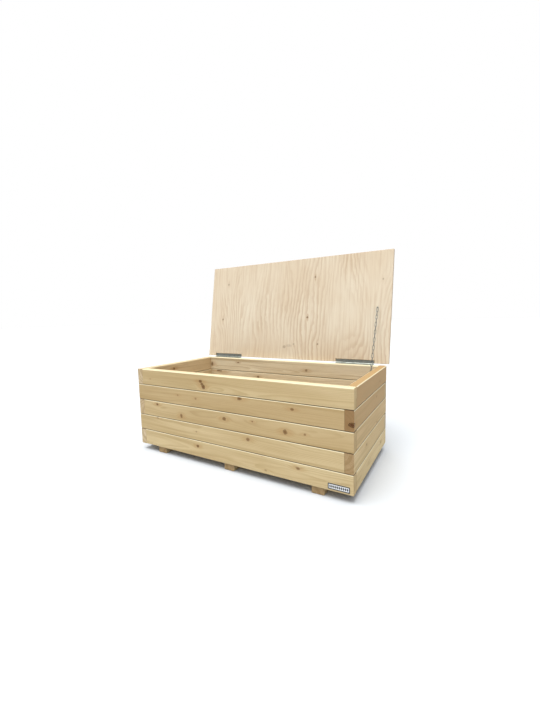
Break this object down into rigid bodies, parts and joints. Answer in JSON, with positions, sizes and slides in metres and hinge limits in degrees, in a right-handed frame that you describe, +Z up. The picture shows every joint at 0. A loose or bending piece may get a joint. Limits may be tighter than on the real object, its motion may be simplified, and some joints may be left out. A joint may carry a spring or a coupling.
{
  "type": "toy box",
  "caption": "Open-topped wooden storage box of interlocked planks on bearers, with a hinged plywood lid held open by a chain stay.",
  "frame": {"origin": "middle of the underside of the centre bearer, on the floor, at the middle of the box's length and depth", "axes": "+X along the front from left to right as seen from the front, +Y from the front to the back where the hinges are, +Z up"},
  "size_m": [1.018, 0.5997, 0.8892],
  "materials": {
    "spruce": "planed, untreated",
    "plywood": "sanded, untreated",
    "beech": "turned, untreated",
    "zinc": "zinc-plated steel",
    "badge_steel": "satin"
  },
  "bodies": {
    "box": {"front_plank_1": "spruce", "front_plank_2": "spruce", "front_plank_3": "spruce", "front_plank_4": "spruce", "front_plank_5": "spruce", "back_plank_1": "spruce", "back_plank_2": "spruce", "back_plank_3": "spruce", "back_plank_4": "spruce", "back_plank_5": "spruce", "left_plank_1": "spruce", "left_plank_2": "spruce", "left_plank_3": "spruce", "left_plank_4": "spruce", "left_plank_5": "spruce", "right_plank_1": "spruce", "right_plank_2": "spruce", "right_plank_3": "spruce", "right_plank_4": "spruce", "right_plank_5": "spruce", "front_left_dowel": "beech", "front_right_dowel": "beech", "back_left_dowel": "beech", "back_right_dowel": "beech", "left_bearer": "spruce", "centre_bearer": "spruce", "right_bearer": "spruce", "floor_panel": "plywood", "badge": "badge_steel", "left_hinge_box_leaf": "zinc", "left_hinge_pin": "zinc", "left_box_screw_1": "zinc", "left_box_screw_2": "zinc", "left_box_screw_3": "zinc", "right_hinge_box_leaf": "zinc", "right_hinge_pin": "zinc", "right_box_screw_1": "zinc", "right_box_screw_2": "zinc", "right_box_screw_3": "zinc", "chain_box_screw": "zinc"},
    "lid": {"lid": "plywood", "left_hinge_lid_leaf": "zinc", "left_lid_screw_1": "zinc", "left_lid_screw_2": "zinc", "left_lid_screw_3": "zinc", "right_hinge_lid_leaf": "zinc", "right_lid_screw_1": "zinc", "right_lid_screw_2": "zinc", "right_lid_screw_3": "zinc", "chain_lid_eye": "zinc"},
    "chain_run_1": {"chain_run_1": "zinc"},
    "chain_run_2": {"chain_run_2": "zinc"},
    "chain_run_3": {"chain_run_3": "zinc"},
    "chain_run_4": {"chain_run_4": "zinc"},
    "chain_run_5": {"chain_run_5": "zinc"},
    "chain_run_6": {"chain_run_6": "zinc"}
  },
  "joints": [
    {"name": "lid_hinge", "type": "hinge", "parent": "box", "child": "lid", "pos_m": [0, 0.253, 0.3808], "axis": [1, 0, 0], "range_deg": [0, 99.3]},
    {"name": "chain_joint_1", "type": "hinge", "parent": "lid", "child": "chain_run_1", "pos_m": [0.45105, 0.28416, 0.63176], "axis": [1, 0, 0], "range_deg": [-57, 0]},
    {"name": "chain_joint_2", "type": "hinge", "parent": "chain_run_1", "child": "chain_run_2", "pos_m": [0.45297, 0.25453, 0.58117], "axis": [1, 0, 0], "range_deg": [-115, 0]},
    {"name": "chain_joint_3", "type": "hinge", "parent": "chain_run_2", "child": "chain_run_3", "pos_m": [0.45471, 0.22752, 0.53507], "axis": [1, 0, 0], "range_deg": [0, 115]},
    {"name": "chain_joint_4", "type": "hinge", "parent": "chain_run_3", "child": "chain_run_4", "pos_m": [0.45663, 0.19789, 0.48449], "axis": [1, 0, 0], "range_deg": [0, 92]},
    {"name": "chain_joint_5", "type": "hinge", "parent": "chain_run_4", "child": "chain_run_5", "pos_m": [0.45838, 0.17088, 0.43839], "axis": [1, 0, 0], "range_deg": [0, 18]},
    {"name": "chain_joint_6", "type": "hinge", "parent": "chain_run_5", "child": "chain_run_6", "pos_m": [0.4603, 0.14125, 0.3878], "axis": [1, 0, 0], "range_deg": [0, 14]}
  ],
  "couplings": [
    {"joint": "chain_joint_1", "follows": "lid_hinge", "ratio": -0.5569},
    {"joint": "chain_joint_2", "follows": "lid_hinge", "ratio": -1.138},
    {"joint": "chain_joint_3", "follows": "lid_hinge", "ratio": 1.138},
    {"joint": "chain_joint_4", "follows": "lid_hinge", "ratio": 0.91641},
    {"joint": "chain_joint_5", "follows": "lid_hinge", "ratio": 0.16113},
    {"joint": "chain_joint_6", "follows": "lid_hinge", "ratio": 0.12085}
  ]
}
